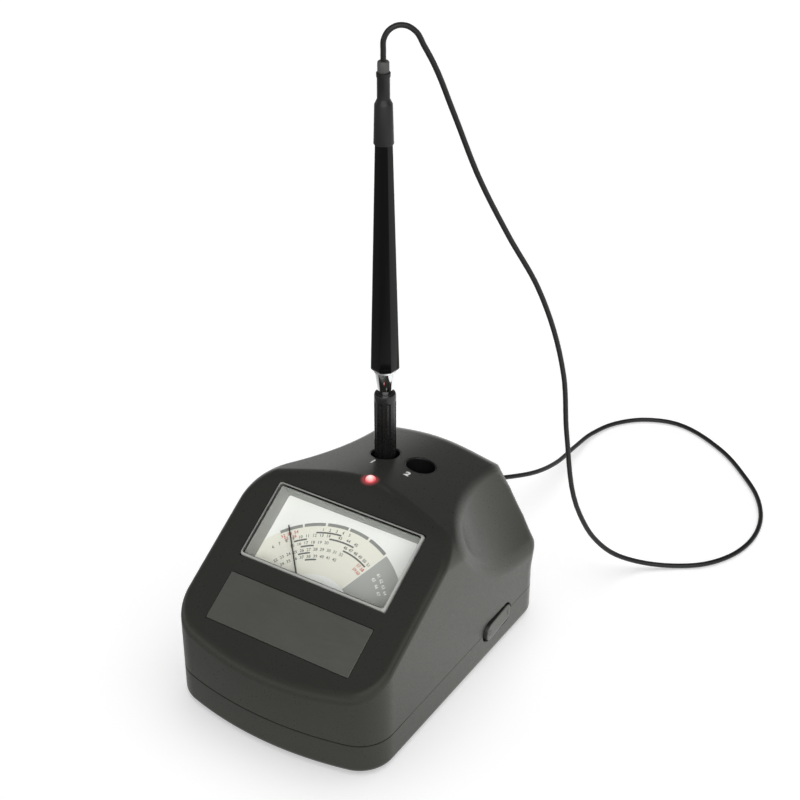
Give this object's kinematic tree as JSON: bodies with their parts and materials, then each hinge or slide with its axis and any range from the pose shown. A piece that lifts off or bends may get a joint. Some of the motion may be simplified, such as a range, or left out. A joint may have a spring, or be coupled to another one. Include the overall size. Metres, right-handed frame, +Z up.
{
  "type": "gemstone tester",
  "caption": "Counter-top gemstone tester: sloped-panel housing with a needle meter, lamp and reference wells, a side power key, and a corded pen probe standing in its well.",
  "frame": {"origin": "on the resting plane under the middle of the housing", "axes": "+Z up along the standing pen, the sloped meter panel faces -Y, the power key is on the +X side"},
  "size_m": [0.1639, 0.3081, 0.2684],
  "materials": {
    "housing_abs": "fine moulded texture",
    "tray_abs": "fine moulded texture",
    "door_abs": "fine moulded texture",
    "foot_rubber": "matte",
    "screw_steel": "zinc plated",
    "cell_sleeve": "satin sleeve",
    "contact_strip": "nickel plated",
    "board_laminate": "solder mask",
    "chip_epoxy": "moulded",
    "meter_abs": "moulded",
    "cover_acrylic": "clear polished",
    "dial_card": "matt print",
    "movement_brass": "machined",
    "magnet_alloy": "ground",
    "core_iron": "ground",
    "coil_wire": "varnished winding",
    "pivot_steel": "polished",
    "needle_paint": "black paint",
    "hair_bronze": "drawn strip",
    "plate_satin": "satin",
    "lamp_lens": "tinted clear",
    "cap_abs": "moulded",
    "reference_glass": "polished",
    "reference_steel": "lapped",
    "key_abs": "moulded",
    "cord_pvc": "smooth",
    "gland_rubber": "smooth",
    "nose_plastic": "moulded",
    "tip_copper": "polished",
    "spring_steel": "drawn wire",
    "heater_ceramic": "fired",
    "lead_pvc": "smooth",
    "cone_chrome": "polished",
    "barrel_gloss": "polished",
    "sleeve_matt": "moulded",
    "cap_grey": "matte"
  },
  "bodies": {
    "housing": {"upper_housing": "housing_abs", "base_tray": "tray_abs", "rubber_feet": "foot_rubber", "case_screws": "screw_steel", "battery_cells": "cell_sleeve", "battery_contacts": "contact_strip", "main_board": "board_laminate", "board_parts": "chip_epoxy", "board_screws": "screw_steel", "meter_case": "meter_abs", "meter_screws": "screw_steel", "meter_cover": "cover_acrylic", "dial_plate": "dial_card", "meter_frame": "movement_brass", "meter_magnet": "magnet_alloy", "meter_core": "core_iron", "meter_bridge": "movement_brass", "nameplate": "plate_satin", "lamp": "lamp_lens", "well_sleeves": "cap_abs", "well_caps": "cap_abs", "glass_disc": "reference_glass", "calibration_disc": "reference_steel", "rocker_pin": "pivot_steel", "switch_body": "meter_abs", "switch_tags": "contact_strip", "cord_gland": "gland_rubber", "probe_cord": "cord_pvc"},
    "battery_door": {"battery_door": "door_abs"},
    "pointer": {"moving_coil": "coil_wire", "pivot_shafts": "pivot_steel", "pointer": "needle_paint", "hairspring": "hair_bronze"},
    "power_key": {"rocker_key": "key_abs"},
    "probe": {"probe_nose": "nose_plastic", "tip_spring": "spring_steel", "probe_heater": "heater_ceramic", "probe_leads": "lead_pvc", "probe_cone": "cone_chrome", "probe_ring": "cone_chrome", "probe_barrel": "barrel_gloss", "probe_sleeve": "sleeve_matt", "probe_cap": "cap_grey"},
    "tip": {"probe_tip": "tip_copper"}
  },
  "joints": [
    {"name": "pointer_sweep", "type": "hinge", "parent": "housing", "child": "pointer", "pos_m": [0, -0.04388, 0.05233], "axis": [0, 0.525, -0.8511], "range_deg": [-6.5, 83.5], "stiffness_Nm_per_rad": 0.0005},
    {"name": "power_key_rock", "type": "hinge", "parent": "housing", "child": "power_key", "pos_m": [0.0455, 0.032, 0.015], "axis": [0, 0, -1], "range_deg": [0, 5]},
    {"name": "probe_lift", "type": "slide", "parent": "housing", "child": "probe", "axis": [0, 0, 1], "range_m": [0, 0.04], "deforming": ["probe_cord"]},
    {"name": "tip_press", "type": "slide", "parent": "probe", "child": "tip", "axis": [0, 0, 1], "range_m": [0, 0.0012], "stiffness_N_per_m": 400, "springref_m": -0.001, "deforming": ["tip_spring"]},
    {"name": "battery_door_slide", "type": "slide", "parent": "housing", "child": "battery_door", "axis": [0, 1, 0], "range_m": [0, 0.06]}
  ]
}
